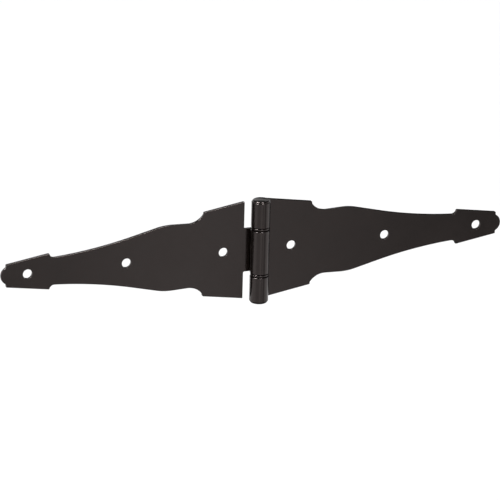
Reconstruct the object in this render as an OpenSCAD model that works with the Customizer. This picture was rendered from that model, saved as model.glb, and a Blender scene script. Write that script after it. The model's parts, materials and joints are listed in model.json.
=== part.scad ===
// Ornamental strap hinge: two spear-ended straps with rolled eyes, on one pin headed at both ends.
// The frame strap carries the two outer knuckles, the door strap the middle one, and a thin
// washer sits in each joint of the barrel. All sizes are in millimetres.
//
// +Z runs up the pin, +X along the frame strap, and +Y into the wood that the straps are
// screwed to. The origin is on the pin's axis, halfway up the barrel. The hinge is drawn open flat.

/* [Barrel and pin] */
// Thickness of the strap steel
sheet_t = 2.5; // [2:0.1:3]
// Diameter of the pin's shank
pin_d = 9.3; // [8.5:0.1:10]
// Radial running clearance of the pin in the eyes
pin_clearance = 0.05; // [0.02:0.01:0.1]
// Length of the barrel, over both outer knuckles
barrel_len = 78; // [77:0.5:79]
// Length of the middle knuckle
middle_len = 34; // [28:1:40]
// Thickness of each washer between two knuckles
washer_t = 1.7; // [1:0.1:2.5]
// How far each washer's rim sits below the barrel's surface
washer_inset = 0.3; // [0:0.1:1]
// Gap between a washer and the knuckle on each side of it
side_gap = 0.4; // [0.15:0.05:0.5]
// Gap between the outer corner of the rolled end and the strap's face
seam_gap = 0.5; // [0.3:0.1:1]
// Diameter of the pin's heads
head_d = 13.4; // [11:0.1:14]
// Thickness of the pin's heads
head_t = 1.7; // [1.6:0.1:2.5]
// Radius round the rim of each head
head_rim_r = 1.5; // [0.3:0.1:1.6]

/* [Strap outline] */
// Reach of each strap, from the pin's axis to its nose
reach = 200; // [199:0.5:202]
// Distance from the pin's axis to the straight edge beside the barrel
root_x = 11; // [10:0.5:13]
// Width of the strap at that edge
root_w = 76.4; // [75:0.2:77]
// Distance from the pin's axis to the bottom of the frame strap's notch, beside the middle eye
notch_x = 9.4; // [9:0.1:9.6]
// Distance from the pin's axis to the shoulder
shoulder_x = 43.2; // [42:0.2:45]
// Width of the strap at the shoulder
shoulder_w = 66; // [64:1:68]
// Radius of the cove under the shoulder
cove_r = 14; // [13:0.5:15]
// Distance from the pin's axis to the bottom of the cove
cove_x = 54.8; // [54:0.2:56]
// Width of the strap at the bottom of the cove
cove_w = 50.4; // [49:0.2:52]
// Distance from the pin's axis to where the two sides of the swell would meet
swell_x = 73.6; // [72:0.2:75]
// Width of the strap between those two meeting points
swell_w = 51.8; // [51:0.2:53]
// Radius that rounds the swell
swell_r = 45; // [30:1:60]
// Distance from the pin's axis to where the straight taper runs into the long hollow
hollow_x = 98.5; // [96:0.5:101]
// Width of the strap there
hollow_w = 39.6; // [39:0.2:40.2]
// Distance from the pin's axis to the narrowest place
neck_x = 159.2; // [158:0.2:160]
// Width of the strap at the narrowest place
neck_w = 21.1; // [20:0.1:22]
// Radius of the hook between the narrowest place and the spear
neck_r = 3.7; // [3.4:0.1:3.8]
// Width of the spear at its back, where the hook ends
spear_w = 27.8; // [26:0.2:28.4]
// Distance from the pin's axis to the front of the spear
spear_end_x = 196; // [194:0.5:197]
// Width of the spear at its front
spear_end_w = 17.4; // [14.4:0.2:20]
// Radius of the round nose
nose_r = 7; // [5.5:0.1:7.2]
// Radius in the corners of the notches beside the eyes
notch_r = 1; // [0.5:0.1:2]

/* [Screw holes] */
// Diameter of each screw hole
hole_d = 7.1; // [5:0.1:9]
// Distance from the pin's axis to the first hole
first_hole_x = 27.2; // [24:0.2:30]
// Spacing of the holes
hole_pitch = 76.2; // [75:0.1:77]
// Number of holes in each strap
hole_count = 3; // [1:1:3]

/* [Hidden] */
$fn = 96;
strap_colour = [0.10, 0.09, 0.085];
pin_colour = [0.13, 0.12, 0.115];
washer_colour = [0.16, 0.15, 0.145];
hollow_fn = 720;                                   // facets on the hollow's very large circle
overlap = 1;                                       // how far one shape runs into or past the next
run_in = 0.05;                                     // the hollow meets the hook this far above its foot
pin_r = pin_d / 2;
eye_r = pin_r + pin_clearance;                     // inside of every rolled eye
barrel_r = eye_r + sheet_t;                        // outside of every rolled eye
washer_r = barrel_r - washer_inset;
washer_bore_r = pin_r + 0.08;                      // loose enough for a washer to turn freely
back_y = barrel_r;                                 // the straps' backs are tangent to the barrel
face_y = back_y - sheet_t;                         // the straps' faces are tangent to the eyes
end_angle = acos((face_y - seam_gap) / barrel_r);  // from +Y round to the roll's end
outer_start = middle_len / 2 + washer_t + 2 * side_gap;
outer_len = barrel_len / 2 - outer_start;
washer_mid = middle_len / 2 + side_gap + washer_t / 2;
body_slope = (root_w - shoulder_w) / 2 / (shoulder_x - root_x);
barrel_edge_x = root_x - (barrel_len - root_w) / 2 / body_slope;

// Radius of the circle that touches a line at p, whose unit normal is given, and passes through q
function tangent_radius(p, normal, q) = (q - p) * (q - p) / (2 * (q - p) * normal);

// What to cut from the corner at p, between the lines from a and to b, to leave an arc of radius r
module corner_waste(a, p, b, r) {
    in_angle = atan2(p.y - a.y, p.x - a.x);
    turn = atan2(b.y - p.y, b.x - p.x) - in_angle;
    tangent = r * tan(abs(turn) / 2);
    start = p - tangent * [cos(in_angle), sin(in_angle)];
    finish = p + tangent * [cos(in_angle + turn), sin(in_angle + turn)];
    centre = start + r * [sin(in_angle), -cos(in_angle)];
    beyond = p + (p - centre) / norm(p - centre);
    difference() {
        polygon([start, beyond, finish]);
        translate(centre) circle(r = r);
    }
}

// The wide plate beside the barrel: upper half, from the root to the shoulder
module body_half() {
    polygon([[root_x, 0], [root_x, root_w / 2], [shoulder_x, shoulder_w / 2], [shoulder_x, 0]]);
}

// The tapering strap: upper half, with its cove, swell and long hollow
module taper_half() {
    shoulder = [shoulder_x, shoulder_w / 2];
    cove = [cove_x, cove_w / 2];
    swell = [swell_x, swell_w / 2];
    hollow = [hollow_x, hollow_w / 2];
    neck = [neck_x, neck_w / 2 + run_in];
    fall = atan2(swell.y - hollow.y, hollow.x - swell.x);
    normal = [sin(fall), cos(fall)];
    hollow_r = tangent_radius(hollow, normal, neck);
    difference() {
        polygon([
            [shoulder_x, 0], shoulder, cove, swell, hollow,
            neck + [overlap, overlap / 2], [neck_x + overlap, 0],
        ]);
        translate(cove + [0, cove_r]) circle(r = cove_r);
        corner_waste(cove, swell, hollow, swell_r);
        translate(hollow + hollow_r * normal) circle(r = hollow_r, $fn = hollow_fn);
    }
}

// The spear: upper half, from the narrowest place to its front
module spear_half() {
    neck = [neck_x, neck_w / 2];
    back = [neck_x + neck_r, spear_w / 2];
    front = [spear_end_x, spear_end_w / 2];
    above_neck = back + (back - front) * neck_r / (front.x - back.x);
    difference() {
        polygon([[neck_x, 0], above_neck, front, [spear_end_x, 0]]);
        translate(neck + [0, neck_r]) circle(r = neck_r);
    }
}

// The strap's outline from the root edge to the nose
module strap_outline() {
    for (side = [0, 1]) mirror([0, side]) {
        body_half();
        taper_half();
        spear_half();
    }
    translate([reach - nose_r, 0]) circle(r = nose_r);
}

// A round fillet that fills the square corner at p; quadrant gives the open side, as signs
module fillet(p, quadrant) {
    translate(p) scale([quadrant.x, quadrant.y]) difference() {
        translate([-overlap, -overlap]) square(notch_r + overlap);
        translate([notch_r, notch_r]) circle(r = notch_r);
    }
}

// The neck that joins the plate to the middle eye
module middle_neck() {
    half = middle_len / 2;
    translate([0, -half]) square([root_x, middle_len]);
    for (s = [-1, 1]) fillet([root_x, s * half], [-1, s]);
}

// The two necks that join the plate to the outer eyes, and the bottom of the notch between them
module outer_necks() {
    top = barrel_len / 2;
    translate([notch_x, -outer_start]) square([root_x - notch_x, 2 * outer_start]);
    for (s = [-1, 1]) {
        scale([1, s]) polygon([
            [0, outer_start],
            [root_x, outer_start],
            [root_x, root_w / 2],
            [barrel_edge_x, top],
            [0, top],
        ]);
        fillet([notch_x, s * outer_start], [-1, -s]);
    }
}

// Drills for the screw holes, right through the sheet
module screw_holes() {
    for (i = [0 : hole_count - 1])
        translate([first_hole_x + i * hole_pitch, back_y + overlap, 0])
            rotate([90, 0, 0]) cylinder(d = hole_d, h = sheet_t + 2 * overlap);
}

// A rolled eye of the given length, with its lower end at z: the strap's end curled round the pin.
// The end was sheared square to the sheet, so a narrow wedge stays open between it and the face.
module eye(z, length) {
    translate([0, 0, z]) linear_extrude(height = length) difference() {
        circle(r = barrel_r);
        circle(r = eye_r);
        polygon([[0, 0], [face_y * tan(end_angle), face_y], [0, face_y]]);
    }
}

// A flat strap on +X, with its necks given as a child; the bore is cleared through them
module plate() {
    difference() {
        translate([0, back_y, 0]) rotate([90, 0, 0]) linear_extrude(height = sheet_t) {
            strap_outline();
            children();
        }
        screw_holes();
    }
}

module frame_strap() {
    color(strap_colour) {
        plate() outer_necks();
        eye(outer_start, outer_len);
        eye(-outer_start - outer_len, outer_len);
    }
}

module door_strap() {
    color(strap_colour) mirror([1, 0, 0]) {
        plate() middle_neck();
        eye(-middle_len / 2, middle_len);
    }
}

// Half section of the pin's upper half, turned about Z: the shank and its button head
module pin_section() {
    seat = barrel_len / 2;
    square([pin_r, seat + head_t / 2]);
    translate([0, seat]) square([head_d / 2, head_t - head_rim_r]);
    translate([0, seat]) square([head_d / 2 - head_rim_r, head_t]);
    intersection() {
        translate([head_d / 2 - head_rim_r, seat + head_t - head_rim_r]) circle(r = head_rim_r);
        translate([0, seat]) square([head_d / 2, head_t]);
    }
}

module hinge_pin() {
    color(pin_colour) for (side = [0, 1])
        mirror([0, 0, side]) rotate_extrude() pin_section();
}

// A washer with its middle at height z
module washer(z) {
    color(washer_colour) translate([0, 0, z - washer_t / 2]) difference() {
        cylinder(r = washer_r, h = washer_t);
        translate([0, 0, -overlap]) cylinder(r = washer_bore_r, h = washer_t + 2 * overlap);
    }
}

module upper_washer() { washer(washer_mid); }
module lower_washer() { washer(-washer_mid); }

frame_strap();
door_strap();
hinge_pin();
upper_washer();
lower_washer();
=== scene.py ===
import cmath
import json
import math

import bmesh
import bpy
from mathutils import Matrix, Vector


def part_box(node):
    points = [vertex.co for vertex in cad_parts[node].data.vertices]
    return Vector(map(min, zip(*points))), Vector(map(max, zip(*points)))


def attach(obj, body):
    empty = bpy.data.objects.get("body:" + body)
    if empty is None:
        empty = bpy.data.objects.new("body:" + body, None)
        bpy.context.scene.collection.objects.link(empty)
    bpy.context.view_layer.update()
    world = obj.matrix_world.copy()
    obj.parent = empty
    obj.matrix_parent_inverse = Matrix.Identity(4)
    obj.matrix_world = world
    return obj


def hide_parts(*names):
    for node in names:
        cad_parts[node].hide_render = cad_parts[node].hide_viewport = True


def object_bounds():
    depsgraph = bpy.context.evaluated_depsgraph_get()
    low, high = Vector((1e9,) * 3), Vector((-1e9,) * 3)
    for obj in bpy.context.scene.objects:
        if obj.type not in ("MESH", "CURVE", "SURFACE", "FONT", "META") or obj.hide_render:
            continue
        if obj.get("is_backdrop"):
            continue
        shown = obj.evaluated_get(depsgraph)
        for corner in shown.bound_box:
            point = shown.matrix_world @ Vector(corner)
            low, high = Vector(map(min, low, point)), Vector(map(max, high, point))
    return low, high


# The looks of an ornamental strap hinge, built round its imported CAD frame, in metres.
# +Z runs up the pin, +X along the frame strap, and +Y into the wood behind the straps.
# Each strap is made as the real one is: a flat blank is cut out with its edges softened, and
# its necks are then rolled round the pin. The pin and the washers are turned.

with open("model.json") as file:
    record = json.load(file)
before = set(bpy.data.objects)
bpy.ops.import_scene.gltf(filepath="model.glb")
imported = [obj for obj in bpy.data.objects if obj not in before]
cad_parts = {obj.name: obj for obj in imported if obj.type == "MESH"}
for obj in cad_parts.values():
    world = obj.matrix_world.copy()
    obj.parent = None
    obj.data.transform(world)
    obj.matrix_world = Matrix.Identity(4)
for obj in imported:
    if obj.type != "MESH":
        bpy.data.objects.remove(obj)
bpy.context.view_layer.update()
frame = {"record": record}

MM = 0.001

# ---------------------------------------------------------------- sizes that the frame gives
strap_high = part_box("frame_strap")[1]
door_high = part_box("door_strap")[1]
pin_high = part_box("hinge_pin")[1]
washer_low, washer_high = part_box("upper_washer")
mounts = {mount["name"]: mount for mount in frame["record"]["mounts"]}
screws = mounts["frame_strap_near_screws"]

REACH = strap_high.x                                  # pin's axis to nose
BARREL_R = strap_high.y                               # the backs are tangent to the barrel
BARREL_TOP = strap_high.z
SHEET = 2 * (BARREL_R - screws["pos_m"][1])           # the pattern's centre is at mid-thickness
EYE_R = BARREL_R - SHEET                              # also the height of the straps' faces
HOLE_R = screws["dims"]["hole_r_mm"] * MM
HOLE_PITCH = screws["dims"]["spacing_x_mm"] * MM
FIRST_HOLE_X = screws["pos_m"][0] - HOLE_PITCH / 2
HOLE_COUNT = 3                                        # the near and far pairs share the middle one

# ---------------------------------------------------------------- the strap's outline
# A point of the outline is a complex number: x along the strap + 1j * z up the pin.
ROOT = 11 * MM + 1j * door_high.z                     # corner beside the barrel
NOTCH_X = 9.4 * MM                                    # bottom of the frame strap's notch
SHOULDER = (43.2 + 33j) * MM
COVE = (54.8 + 25.2j) * MM                            # bottom of the cove
COVE_R = 14 * MM
SWELL = (73.6 + 25.9j) * MM                           # where the two sides of the swell meet
SWELL_R = 45 * MM
HOLLOW = (98.5 + 19.8j) * MM                          # the straight taper ends, the hollow starts
NECK = (159.2 + 10.55j) * MM                          # the narrowest place
HOOK_R = 3.7 * MM
SPEAR_BACK = (162.9 + 13.9j) * MM
SPEAR_FRONT = (196 + 8.7j) * MM
NOSE_R = 7 * MM
NOTCH_SOFT = 1.2 * MM                                 # rounding in the notches beside the eyes
SIDE_GAP = 0.4 * MM                                   # between a washer and a knuckle
SEAM_GAP = 0.5 * MM                                   # between a rolled end and the face
MIDDLE_HALF = washer_low.z - SIDE_GAP                 # half the middle knuckle's length
OUTER_START = washer_high.z + SIDE_GAP                # where the outer knuckles start

# ---------------------------------------------------------------- finish of the edges
EDGE_R = 0.4 * MM                                     # every edge of the sheet is this round
CORNER_SOFT = 0.8 * MM                                # the outline's corners, cut back this far
CORNER_STEPS = 8
EDGE_STEPS = 5
ARC_CHORD = 0.5 * MM
ROLL_STEPS = 84
HOLE_STEPS = 72
TURN_STEPS = 128
FINE = 1e-7                                           # shorter than this is no length at all

# ---------------------------------------------------------------- the pin and the washers
PIN_R = 4.65 * MM
CROWN = 0.30 * MM                                     # how far each of the pin's heads is domed
CROWN_STEPS = 10
HEAD_RIM = 1.35 * MM                                  # radius round the rim of each head
HEAD_CHORD = HEAD_RIM / 8
SEAT_AIR = 0.01 * MM                                  # between each head and its knuckle
SEAT_SOFT = 0.30 * MM                                 # how far each head's seat is cut back
WASHER_PLAY = 0.08 * MM                               # between a washer and the pin
WASHER_SOFT = 0.65 * MM                               # how far a washer's rim is cut back
RUB_INSET = HEAD_RIM / 3                              # a head is rubbed most this far inside its rim
RUB_REACH = 2 * EDGE_R                                # how far the rubbing on a turned rim reaches


# ================================================================ plane geometry
def unit(v):
    return v / abs(v)


def arc(centre, start, end, clockwise, chord=ARC_CHORD):
    """Points round centre from start to end, both included."""
    turn = cmath.phase((end - centre) / (start - centre)) % (2 * math.pi)
    if clockwise:
        turn -= 2 * math.pi
    steps = max(3, math.ceil(abs(turn) * abs(start - centre) / chord))
    return [centre + (start - centre) * cmath.exp(1j * turn * i / steps) for i in range(steps + 1)]


def meet_circle(p, direction, centre, radius, side):
    """Where the line from p crosses a circle: the nearer crossing (side -1) or the further (1)."""
    off = (centre - p) / direction
    return p + direction * (off.real + side * math.sqrt(radius**2 - off.imag**2))


def round_off(a, corner, b, radius):
    """The arc that rounds a convex corner between the points a and b on its two sides."""
    back, on = unit(a - corner), unit(b - corner)
    half = abs(cmath.phase(on / back)) / 2
    centre = corner + unit(back + on) * radius / math.sin(half)
    tangent = radius / math.tan(half)
    return arc(centre, corner + back * tangent, corner + on * tangent, clockwise=True)


def walk(points, i, step, distance):
    """The point that far along the closed outline from corner i, and the next index beyond it."""
    j = i
    while True:
        k = (j + step) % len(points)
        length = abs(points[k] - points[j])
        if length >= distance:
            return points[j] + (points[k] - points[j]) * distance / length, k
        distance -= length
        j = k


def soften(outline):
    """A closed outline of (point, cut) pairs, with each corner that has a cut rounded over it."""
    points = [p for p, cut in outline]
    count = len(points)
    dropped, curves = set(), {}
    for i, (corner, cut) in enumerate(outline):
        if not cut:
            continue
        a, before = walk(points, i, -1, cut)
        b, after = walk(points, i, 1, cut)
        dropped |= {(before + n) % count for n in range(1, (after - before) % count)}
        shares = [n / CORNER_STEPS for n in range(CORNER_STEPS + 1)]
        curves[i] = [a * (1 - t) ** 2 + 2 * corner * t * (1 - t) + b * t**2 for t in shares]
    made = []
    for i, point in enumerate(points):
        made += curves.get(i, [] if i in dropped else [point])
    return [p for i, p in enumerate(made) if abs(p - made[i - 1]) > FINE]


def outward(points):
    """The normal at each point of a closed outline that keeps the steel on its right."""
    count = len(points)
    return [1j * unit(points[(i + 1) % count] - points[i - 1]) for i in range(count)]


# ================================================================ the blank's outline
def shoulder_to_nose():
    """The upper edge of a strap from its shoulder to the tip of its nose, as (point, cut) pairs."""
    cove_centre = COVE + 1j * COVE_R
    cove_start = meet_circle(SHOULDER, -1j, cove_centre, COVE_R, 1)
    cove_end = meet_circle(COVE, unit(SWELL - COVE), cove_centre, COVE_R, 1)
    normal = 1j * unit(HOLLOW - SWELL)
    chord = NECK - HOLLOW
    hollow_r = abs(chord) ** 2 / (2 * (chord / normal).real)
    hollow_centre = HOLLOW + hollow_r * normal
    hook_centre = NECK + 1j * HOOK_R
    spear = unit(SPEAR_FRONT - SPEAR_BACK)
    hook_end = meet_circle(SPEAR_BACK, spear, hook_centre, HOOK_R, 1)
    nose_centre = REACH - NOSE_R + 0j
    nose_start = meet_circle(SPEAR_FRONT, -1j, nose_centre, NOSE_R, -1)

    cove = arc(cove_centre, cove_start, cove_end, clockwise=False)
    swell = round_off(COVE, SWELL, HOLLOW, SWELL_R)
    hollow = arc(hollow_centre, HOLLOW, NECK, clockwise=False, chord=2 * ARC_CHORD)
    hook = arc(hook_centre, NECK, hook_end, clockwise=False)
    nose = arc(nose_centre, nose_start, REACH + 0j, clockwise=True)

    edge = [(SHOULDER, CORNER_SOFT), (cove[0], CORNER_SOFT)]
    edge += [(p, 0) for p in cove[1:-1]] + [(cove[-1], CORNER_SOFT)]
    edge += [(p, 0) for p in swell + hollow[:-1]] + [(NECK, CORNER_SOFT)]
    edge += [(p, 0) for p in hook[1:-1]] + [(hook[-1], CORNER_SOFT)]
    edge += [(SPEAR_FRONT, CORNER_SOFT), (nose[0], CORNER_SOFT)]
    return edge + [(p, 0) for p in nose[1:]]


def strap_outline(root):
    """The whole outline, clockwise, from the upper half of its root; the lower half mirrors it."""
    upper = root + shoulder_to_nose()
    lower = [(p.conjugate(), cut) for p, cut in reversed(upper[:-1])]
    return soften(upper + lower)


def outer_root(length):
    """The frame strap's root, upper half: a neck for an outer eye, above the wide notch."""
    slope = (SHOULDER - ROOT) / (SHOULDER - ROOT).real
    edge = ROOT + slope * (BARREL_TOP - ROOT.imag) / slope.imag
    return [
        (NOTCH_X + 1j * OUTER_START, NOTCH_SOFT),
        (-length + 1j * OUTER_START, CORNER_SOFT),
        (-length + 1j * BARREL_TOP, CORNER_SOFT),
        (edge, CORNER_SOFT),
    ]


def middle_root(length):
    """The door strap's root, upper half: half the neck for the middle eye, then the notch."""
    return [
        (-length + 1j * MIDDLE_HALF, CORNER_SOFT),
        (ROOT.real + 1j * MIDDLE_HALF, NOTCH_SOFT),
        (ROOT, CORNER_SOFT),
    ]


def add_stations(points, stations):
    """The outline with extra points on the straight edges of its necks, where they will bend."""
    made = []
    for i, p in enumerate(points):
        q = points[(i + 1) % len(points)]
        made.append(p)
        if abs(p.imag - q.imag) < FINE and min(p.real, q.real) < -FINE:
            low, high = sorted((p.real, q.real))
            inside = [x for x in stations if low + FINE < x < high - FINE]
            made += [x + 1j * p.imag for x in (inside if q.real > p.real else reversed(inside))]
    return made


# ================================================================ sheet and turned meshes
def add_object(name, data):
    made = bpy.data.objects.new(name, data)
    bpy.context.scene.collection.objects.link(made)
    return made


class Shell:
    """A mesh in the making, with each vertex's true surface normal and how far it is on a rim."""

    def __init__(self):
        self.mesh = bmesh.new()
        self.normals = []
        self.rims = []

    def vertex(self, place, normal, rim=0.0):
        self.normals.append(Vector(normal))
        self.rims.append(rim)
        return self.mesh.verts.new(place)

    def face(self, *corners):
        ring = list(dict.fromkeys(corners))
        if len(ring) > 2 and not self.mesh.faces.get(ring):
            self.mesh.faces.new(ring)

    def strip(self, a, b):
        """Faces between two closed rings with the same number of vertices."""
        for i in range(len(a)):
            self.face(a[i - 1], a[i], b[i], b[i - 1])

    def finish(self, name, change=None):
        """Makes the object. change takes each vertex's place and normal and gives new ones."""
        self.mesh.verts.index_update()
        if change:
            for i, v in enumerate(self.mesh.verts):
                v.co, self.normals[i] = change(v.co, self.normals[i])
        bmesh.ops.recalc_face_normals(self.mesh, faces=self.mesh.faces)
        data = bpy.data.meshes.new(name)
        self.mesh.to_mesh(data)
        self.mesh.free()
        data.attributes.new("rim", "FLOAT", "POINT").data.foreach_set("value", self.rims)
        data.shade_smooth()
        data.normals_split_custom_set_from_vertices([n.normalized() for n in self.normals])
        return add_object(name, data)


def edge_profile():
    """Steps from the face over a rounded edge: (inset, depth, angle turned towards the edge)."""
    angles = [math.pi / 2 * i / EDGE_STEPS for i in range(EDGE_STEPS + 1)]
    return [(EDGE_R * (1 - math.sin(a)), EDGE_R * (1 - math.cos(a)), a) for a in angles]


def add_rings(shell, points):
    """The rings of vertices over the sheet's edge, from its face to its back, joined by strips."""
    rings = []
    profile = edge_profile()
    for surface, inward, steps in ((EYE_R, 1, profile), (BARREL_R, -1, reversed(profile))):
        for inset, depth, a in steps:
            ring = []
            for p, n in zip(points, outward(points)):
                q = p - n * inset
                out = n * math.sin(a)
                place = (q.real, surface + inward * depth, q.imag)
                rim = math.sin(2 * min(a, math.pi / 4))
                ring.append(shell.vertex(place, (out.real, -inward * math.cos(a), out.imag), rim))
            rings.append(ring)
    for a, b in zip(rings, rings[1:]):
        shell.strip(a, b)
    return rings


def cap_neck(shell, ring):
    """Four-sided faces across each neck, between the vertices that face each other."""
    tails = {}
    for v in ring:
        if v.co.x < FINE:
            tails.setdefault(round(v.co.x / FINE), []).append(v)
    columns = [sorted(tails[x], key=lambda v: v.co.z) for x in sorted(tails)]
    for a, b in zip(columns, columns[1:]):
        for i in range(0, len(b), 2):
            shell.face(a[i], a[i + 1], b[i + 1], b[i])
    return columns[-1]


def cap_plate(shell, outer, holes):
    """Fills the flat plate between its outline, from the neck's foot on, and its holes."""
    foot = cap_neck(shell, outer)
    edges = [shell.mesh.edges.get((foot[i], foot[i + 1])) for i in range(0, len(foot), 2)]
    for ring in [outer] + holes:
        for i, v in enumerate(ring):
            if min(v.co.x, ring[i - 1].co.x) > -FINE:
                edges.append(shell.mesh.edges.get((ring[i - 1], v)))
    # Each edge once, in an order that is the same every run, which a set's order is not
    border = [edge for edge in dict.fromkeys(edges) if edge]
    bmesh.ops.triangle_fill(shell.mesh, use_beauty=True, edges=border)


END_ANGLE = 2 * math.pi - math.acos((EYE_R - SEAM_GAP) / BARREL_R)
ROLL_LENGTH = END_ANGLE * (EYE_R + BARREL_R) / 2


def roll(place, normal):
    """Bends the blank's end, at x below 0, round the pin's axis."""
    if place.x > -FINE:
        return place, normal
    angle = -place.x / ROLL_LENGTH * END_ANGLE
    along = Vector((-math.cos(angle), -math.sin(angle), 0))
    out = Vector((-math.sin(angle), math.cos(angle), 0))
    up = Vector((0, 0, 1))
    return out * place.y + up * place.z, out * normal.y - along * normal.x + up * normal.z


def make_strap(name, root, mirrored):
    """A strap: its blank with softened edges and screw holes, rolled, and turned to its side."""
    shell = Shell()
    stations = [-ROLL_LENGTH * i / ROLL_STEPS for i in range(ROLL_STEPS, -1, -1)]
    outline = add_stations(strap_outline(root(ROLL_LENGTH)), stations)
    outer = add_rings(shell, outline)
    holes = []
    for i in range(HOLE_COUNT):
        centre = FIRST_HOLE_X + i * HOLE_PITCH + 0j
        turns = [cmath.exp(2j * math.pi * n / HOLE_STEPS) for n in range(HOLE_STEPS)]
        holes.append(add_rings(shell, [centre + HOLE_R * turn for turn in turns]))
    for side in (0, -1):
        cap_plate(shell, outer[side], [hole[side] for hole in holes])

    def place_in_frame(place, normal):
        place, normal = roll(place, normal)
        if mirrored:
            place = Vector((-place.x, place.y, place.z))
            normal = Vector((-normal.x, normal.y, normal.z))
        return place, normal

    return shell.finish(name, place_in_frame)


def make_turned(name, profile, rims):
    """A turned piece from a closed half section, radius + 1j * height, with the steel on its
    right. rims are the points of the section where its paint is rubbed most."""
    shell = Shell()
    rings = []
    for p, n in zip(profile, outward(profile)):
        if p.real < FINE:
            rings.append([shell.vertex((0, 0, p.imag), (0, 0, p.imag))] * TURN_STEPS)
            continue
        rim = max([0.0] + [1 - abs(p - q) / RUB_REACH for q in rims])
        ring = []
        for i in range(TURN_STEPS):
            turn = cmath.exp(2j * math.pi * i / TURN_STEPS)
            q, out = turn * p.real, turn * n.real
            ring.append(shell.vertex((q.real, q.imag, p.imag), (out.real, out.imag, n.imag), rim))
        rings.append(ring)
    for a, b in zip(rings, rings[1:] + rings[:1]):
        if a[0] is not a[1] or b[0] is not b[1]:      # the axis itself, between two poles, is bare
            shell.strip(a, b)
    return shell.finish(name)


# ================================================================ the pieces
def crown_points(dome_r, rim_z):
    """The low dome on a head, from its rim to the pin's axis."""
    shares = [1 - i / CROWN_STEPS for i in range(CROWN_STEPS + 1)]
    return [dome_r * t + 1j * (rim_z + CROWN * (1 - t * t)) for t in shares]


def pin_profile():
    """The pin's half section: the shank with a domed head at each end, clockwise."""
    head_r, top = pin_high.x, pin_high.z
    rim_z = top - CROWN
    dome_r = head_r - HEAD_RIM
    rim = arc(dome_r + 1j * (rim_z - HEAD_RIM), head_r + 1j * (rim_z - HEAD_RIM),
              dome_r + 1j * rim_z, clockwise=False, chord=HEAD_CHORD)
    dome = crown_points(dome_r, rim_z)
    seat = BARREL_TOP + SEAT_AIR
    upper = [(PIN_R + 1j * seat, 0), (head_r + 1j * seat, SEAT_SOFT)]
    upper += [(p, 0) for p in rim + dome[1:]]
    lower = [(p.conjugate(), cut) for p, cut in reversed(upper)]
    anticlockwise = lower + upper
    return soften(list(reversed(anticlockwise)))


def washer_profile(low, high):
    """A washer's half section with softened rims, clockwise."""
    bore = PIN_R + WASHER_PLAY
    corners = [bore + 1j * low.z, bore + 1j * high.z, high.x + 1j * high.z, high.x + 1j * low.z]
    return soften([(p, WASHER_SOFT if p.real > bore else EDGE_R) for p in corners])


frame_strap = make_strap("frame_strap_steel", outer_root, mirrored=False)
door_strap = make_strap("door_strap_steel", middle_root, mirrored=True)
head_rim = pin_high.x - RUB_INSET + 1j * (pin_high.z - CROWN - RUB_INSET)
hinge_pin = make_turned("hinge_pin_steel", pin_profile(), rims=(head_rim, head_rim.conjugate()))
washers = []
for side in ("upper", "lower"):
    low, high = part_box(side + "_washer")
    rims = (high.x + 1j * low.z, high.x + 1j * high.z)
    washers.append(make_turned(side + "_washer_steel", washer_profile(low, high), rims))
upper_washer, lower_washer = washers


# ================================================================ materials
class Tree:
    """The node tree of a material or a world, with a method for each node that it often needs."""

    def __init__(self, owner):
        owner.use_nodes = True
        self.nodes, self.links = owner.node_tree.nodes, owner.node_tree.links

    def feed(self, socket, value):
        """Gives a socket another node's output, a colour or a number."""
        if isinstance(value, bpy.types.NodeSocket):
            self.links.new(value, socket)
        else:
            socket.default_value = (*value, 1) if isinstance(value, tuple) else value

    def coordinates(self, kind):
        return self.nodes.new("ShaderNodeTexCoord").outputs[kind]

    def is_glossy(self):
        """1 for what a reflection sees, else 0."""
        return self.nodes.new("ShaderNodeLightPath").outputs["Is Glossy Ray"]

    def noise(self, where, size, detail=3.0):
        """Noise whose features are about that size, in metres."""
        node = self.nodes.new("ShaderNodeTexNoise")
        node.inputs["Scale"].default_value = 1 / size
        node.inputs["Detail"].default_value = detail
        self.feed(node.inputs["Vector"], where)
        return node.outputs["Fac"]

    def spread(self, value, low, high, to_low, to_high):
        """The value's stretch from low to high, spread over to_low to to_high and held there."""
        node = self.nodes.new("ShaderNodeMapRange")
        for socket, number in (("From Min", low), ("From Max", high),
                               ("To Min", to_low), ("To Max", to_high)):
            node.inputs[socket].default_value = number
        self.feed(node.inputs["Value"], value)
        return node.outputs["Result"]

    def combine(self, operation, a, b):
        """A Math node on two values."""
        node = self.nodes.new("ShaderNodeMath")
        node.operation = operation
        self.feed(node.inputs[0], a)
        self.feed(node.inputs[1], b)
        return node.outputs["Value"]

    def blend(self, share, a, b):
        """A mix of two colours."""
        node = self.nodes.new("ShaderNodeMix")
        node.data_type = "RGBA"
        for name, value in (("A", a), ("B", b)):
            self.feed(next(s for s in node.inputs if s.name == name and s.type == "RGBA"), value)
        self.feed(node.inputs["Factor"], share)
        return next(s for s in node.outputs if s.type == "RGBA")

    def surface(self, shader):
        """Puts a shader on the material."""
        self.feed(self.nodes.new("ShaderNodeOutputMaterial").inputs["Surface"], shader)


def new_material(name):
    material = bpy.data.materials.new(name)
    tree = Tree(material)
    tree.nodes.clear()
    return material, tree


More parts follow.
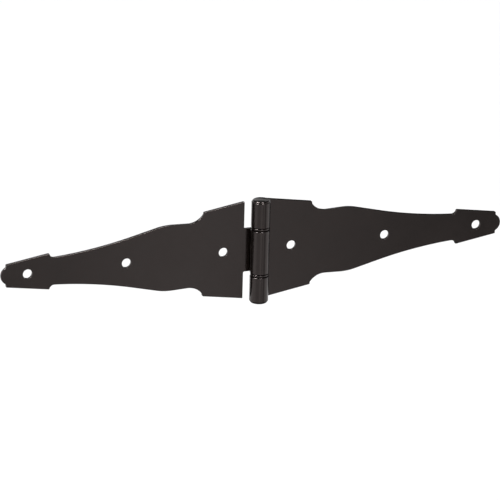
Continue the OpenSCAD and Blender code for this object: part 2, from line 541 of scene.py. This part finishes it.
PAINT = (0.0030, 0.0019, 0.0013)
PAINT_DEEP = (0.0020, 0.0013, 0.0009)
RUBBED = (0.020, 0.017, 0.015)
DUST = (0.050, 0.045, 0.040)
GLOSS_TINT = (1.0, 0.86, 0.84)
IOR = 1.5
GLOSS = 0.17                                          # roughness of clean paint
PATCH_GLOSS, MOTTLE_GLOSS = 0.03, 0.02                # how far patches and mottle shift it
RUBBED_GLOSS = 0.15                                   # how much rougher rubbed paint is
PATCH_SIZE, MOTTLE_SIZE = 28 * MM, 4 * MM
PEEL_SIZE, GRIT_SIZE = 0.8 * MM, 0.25 * MM
NOISE_SPAN = (0.3, 0.7)                               # holds nearly all of a noise's values
DEPTH_SPAN = (0.35, 0.65)                             # patches: from deep paint to the other one
WORN_SPAN = (0.52, 0.68)                              # mottle: where rubbing starts and is full
DUST_SPAN = (0.74, 0.80)                              # grit: where dust starts and is full
DUST_COVER = 0.35                                     # share of the paint that full dust hides
PEEL_DEPTH = 0.02 * MM
PEEL_HEIGHT, MOTTLE_HEIGHT, DUST_HEIGHT = 0.7, 1.6, 0.6    # shares of that depth


def black_paint(name, peel, wear):
    """Baked black paint on steel: orange peel, uneven gloss, rubbed edges and a little dust."""
    material, tree = new_material(name)
    where = tree.coordinates("Object")
    patches = tree.noise(where, PATCH_SIZE)
    mottle = tree.noise(where, MOTTLE_SIZE)
    fine = tree.noise(where, PEEL_SIZE, detail=2)
    grit = tree.noise(where, GRIT_SIZE, detail=1)
    rim = tree.nodes.new("ShaderNodeAttribute")
    rim.attribute_name = "rim"

    colour = tree.blend(tree.spread(patches, *DEPTH_SPAN, 0, 1), PAINT_DEEP, PAINT)
    worn_here = tree.spread(mottle, *WORN_SPAN, 0, wear)
    worn = tree.combine("MULTIPLY", rim.outputs["Fac"], worn_here)
    colour = tree.blend(worn, colour, RUBBED)
    dust = tree.spread(grit, *DUST_SPAN, 0, DUST_COVER)
    colour = tree.blend(dust, colour, DUST)

    rough = tree.spread(patches, *NOISE_SPAN, GLOSS - PATCH_GLOSS, GLOSS + PATCH_GLOSS)
    rough = tree.combine("ADD", rough, tree.spread(mottle, *NOISE_SPAN, -MOTTLE_GLOSS, MOTTLE_GLOSS))
    rough = tree.combine("ADD", rough, tree.combine("MULTIPLY", worn, RUBBED_GLOSS))

    skin = tree.combine("ADD", tree.combine("MULTIPLY", fine, PEEL_HEIGHT),
                        tree.combine("MULTIPLY", mottle, MOTTLE_HEIGHT))
    skin = tree.combine("ADD", skin, tree.combine("MULTIPLY", dust, DUST_HEIGHT))
    bump = tree.nodes.new("ShaderNodeBump")
    bump.inputs["Strength"].default_value = peel
    bump.inputs["Distance"].default_value = PEEL_DEPTH
    tree.feed(bump.inputs["Height"], skin)

    shader = tree.nodes.new("ShaderNodeBsdfPrincipled")
    for socket, value in (("IOR", IOR), ("Specular Tint", GLOSS_TINT), ("Base Color", colour),
                          ("Roughness", rough), ("Normal", bump.outputs["Normal"])):
        tree.feed(shader.inputs[socket], value)
    tree.surface(shader.outputs["BSDF"])
    return material


strap_paint = black_paint("black_strap_paint", peel=0.35, wear=0.2)
pin_paint = black_paint("black_pin_paint", peel=0.3, wear=0.25)
washer_paint = black_paint("black_washer_paint", peel=0.2, wear=0.25)

for piece, node, body, material, slot in (
    (frame_strap, "frame_strap", "frame_side", strap_paint, "strap_paint"),
    (door_strap, "door_strap", "door_side", strap_paint, "strap_paint"),
    (hinge_pin, "hinge_pin", "frame_side", pin_paint, "pin_paint"),
    (upper_washer, "upper_washer", "upper_washer", washer_paint, "washer_paint"),
    (lower_washer, "lower_washer", "lower_washer", washer_paint, "washer_paint"),
):
    piece.data.materials.append(material)
    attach(piece, body)
    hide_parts(node)


# ================================================================ stage, light and camera
# Brightnesses are radiances. The gloss finds dark places in the studio that cast no shade, among
# them a painted shadow on the floor straight below the hinge.
FLOOR_Z = -0.6
FLOOR_HALF = 30.0
FLOOR_PALE = (0.90, 0.90, 0.90)
FLOOR_PAINTED_SHADOW = (0.03, 0.03, 0.03)                      # painted shadow straight below the hinge, which only the gloss finds
PAINTED_SHADOW_REACH = (1.0, 1.3)                               # metres from the hinge: where the painted shadow is darkest, where it is clear
STUDIO = 1.1                                          # even and white, all round
CEILING = 0.06                                        # what the gloss finds overhead
CEILING_FADE = (19, 29)                               # degrees up at which it starts and is full
FLAG_AT = (148, 3)                                    # azimuth and elevation of the black flag
FLAG_FADE = (21, 13)                                  # degrees from its middle: clear, black
LAMP_DISTANCE = 2.2
LAMP_SIZE, LAMP = 0.30, 22                            # metres square, and its radiance
GLINT_SIZE, LEFT_GLINT, RIGHT_GLINT = 0.60, 110, 42
CLIP_END = 100


def toward(azimuth, elevation):
    """The unit vector from the hinge to that side; azimuth 0 is the front and 90 the right."""
    a, e = math.radians(azimuth), math.radians(elevation)
    return Vector((math.sin(a) * math.cos(e), -math.cos(a) * math.cos(e), math.sin(e)))


LEFT_PLACE = LAMP_DISTANCE * toward(-80, 55)
RIGHT_PLACE = LAMP_DISTANCE * toward(11, 60)


def add_panel(name, corners):
    """A flat panel with four corners."""
    data = bpy.data.meshes.new(name)
    data.from_pydata(corners, [], [(0, 1, 2, 3)])
    return add_object(name, data)


def add_floor():
    """A pale floor with a painted shadow straight below the hinge, which only the gloss finds."""
    floor = add_panel("floor", [(x * FLOOR_HALF, y * FLOOR_HALF, FLOOR_Z)
                                for x, y in ((-1, -1), (1, -1), (1, 1), (-1, 1))])
    material, tree = new_material("pale_floor_painted_shadow")
    shader = tree.nodes.new("ShaderNodeBsdfDiffuse")
    away = tree.nodes.new("ShaderNodeVectorMath")
    away.operation = "LENGTH"
    tree.feed(away.inputs[0], tree.coordinates("Object"))
    # Painted shadow: below the hinge the floor is darkened for reflections only, standing in for the
    # shade the hinge would cast there.
    dark = tree.spread(away.outputs["Value"], *PAINTED_SHADOW_REACH, 1, 0)
    share = tree.combine("MULTIPLY", tree.is_glossy(), dark)
    tree.feed(shader.inputs["Color"], tree.blend(share, FLOOR_PALE, FLOOR_PAINTED_SHADOW))
    tree.surface(shader.outputs["BSDF"])
    floor.data.materials.append(material)
    floor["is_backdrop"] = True


def add_world():
    """An even white studio. What the gloss mirrors of it has a dark ceiling and, low down on one
    side, a soft-edged black flag; the light that it casts stays even."""
    world = bpy.data.worlds.new("studio")
    tree = Tree(world)
    direction = tree.coordinates("Generated")
    height = tree.nodes.new("ShaderNodeSeparateXYZ")
    tree.feed(height.inputs["Vector"], direction)
    low, high = (math.sin(math.radians(e)) for e in CEILING_FADE)
    wall = tree.spread(height.outputs["Z"], low, high, STUDIO, CEILING)
    toward_flag = tree.nodes.new("ShaderNodeVectorMath")
    toward_flag.operation = "DOT_PRODUCT"
    toward_flag.inputs[1].default_value = toward(*FLAG_AT)
    tree.feed(toward_flag.inputs[0], direction)
    outer, inner = (math.cos(math.radians(a)) for a in FLAG_FADE)
    flag = tree.spread(toward_flag.outputs["Value"], outer, inner, 1, 0)
    mirrored = tree.combine("MULTIPLY", wall, flag)
    darker = tree.combine("SUBTRACT", mirrored, STUDIO)
    change = tree.combine("MULTIPLY", tree.is_glossy(), darker)
    background = tree.nodes["Background"]
    tree.feed(background.inputs["Strength"], tree.combine("ADD", change, STUDIO))
    tree.feed(background.inputs["Color"], (1, 1, 1))
    bpy.context.scene.world = world


def add_softbox(name, place, size, radiance, glints_only=False):
    """A square softbox at place that faces the hinge. With glints_only it is seen in the gloss
    and lights nothing else."""
    data = bpy.data.lights.new(name, "AREA")
    data.size = size
    data.energy = radiance * math.pi * size**2
    light = add_object(name, data)
    light.location = place
    light.rotation_mode = "QUATERNION"
    light.rotation_quaternion = (-place).to_track_quat("-Z", "Y")
    light.visible_camera = False
    light.visible_diffuse = not glints_only


def add_card(name, azimuth, distance, across, up, shade, slopes):
    """An upright dark card that only reflections see. across and up are (low, high) extents from
    the point straight out from the hinge; shade is its darkness and slopes the soft edges' widths
    at its left, right, bottom and top."""
    middle = distance * toward(azimuth, 0)
    right = toward(azimuth + 90, 0)
    corners = ((across[0], up[0]), (across[1], up[0]), (across[1], up[1]), (across[0], up[1]))
    card = add_panel(name, [middle + right * x + Vector((0, 0, z)) for x, z in corners])
    layer = card.data.uv_layers.new(name="card")
    for loop, place in zip(layer.data, ((0, 0), (1, 0), (1, 1), (0, 1))):
        loop.uv = place
    for rays in ("camera", "diffuse", "shadow", "transmission", "volume_scatter"):
        setattr(card, "visible_" + rays, False)

    material, tree = new_material(name)
    split = tree.nodes.new("ShaderNodeSeparateXYZ")
    tree.feed(split.inputs["Vector"], tree.coordinates("UV"))
    width, height = across[1] - across[0], up[1] - up[0]
    density = shade
    for axis, side, slope in (("X", 0, slopes[0] / width), ("X", 1, slopes[1] / width),
                              ("Y", 0, slopes[2] / height), ("Y", 1, slopes[3] / height)):
        low, high = sorted((side, abs(side - slope)))
        edge = tree.spread(split.outputs[axis], low, high, side, 1 - side)
        density = tree.combine("MULTIPLY", edge, density)
    black = tree.nodes.new("ShaderNodeEmission")
    tree.feed(black.inputs["Strength"], 0)
    clear = tree.nodes.new("ShaderNodeBsdfTransparent")
    mix = tree.nodes.new("ShaderNodeMixShader")
    for socket, value in enumerate((density, clear.outputs["BSDF"], black.outputs["Emission"])):
        tree.feed(mix.inputs[socket], value)
    tree.surface(mix.outputs["Shader"])
    card.data.materials.append(material)
    card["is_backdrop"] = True


def add_camera(azimuth, elevation, roll_angle, distance, aim, lens):
    data = bpy.data.cameras.new("camera")
    data.lens = lens
    data.clip_end = CLIP_END
    camera = add_object("camera", data)
    camera.location = aim + distance * toward(azimuth, elevation)
    camera.rotation_mode = "QUATERNION"
    look = (-toward(azimuth, elevation)).to_track_quat("-Z", "Y").to_matrix()
    lean = Matrix.Rotation(math.radians(roll_angle), 3, "Z")
    camera.rotation_quaternion = (look @ lean).to_quaternion()
    bpy.context.scene.camera = camera


add_floor()
add_world()
add_softbox("left_lamp", LEFT_PLACE, LAMP_SIZE, LAMP)
add_softbox("right_lamp", RIGHT_PLACE, LAMP_SIZE, LAMP)
add_softbox("left_glint", LEFT_PLACE, GLINT_SIZE, LEFT_GLINT, glints_only=True)
add_softbox("right_glint", RIGHT_PLACE, GLINT_SIZE, RIGHT_GLINT, glints_only=True)
add_card("right_card", azimuth=22, distance=1.2, across=(-0.08, 0.66), up=(-0.59, -0.12),
         shade=0.60, slopes=(0.30, 0.20, 0.05, 0.1))
add_card("left_card", azimuth=22, distance=1.19, across=(-0.50, -0.09), up=(-0.59, -0.12),
         shade=0.38, slopes=(0.10, 0.15, 0.05, 0.1))
add_card("camera_card", azimuth=-40, distance=0.8, across=(-0.42, 0.42), up=(-0.45, -0.1),
         shade=0.26, slopes=(0.2, 0.2, 0.05, 0.05))
add_camera(azimuth=-21.96, elevation=19.79, roll_angle=1.47, distance=2.534,
           aim=Vector((-0.0060, EYE_R, -0.0003)), lens=245)

bpy.context.scene.view_settings.view_transform = "Standard"

low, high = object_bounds()
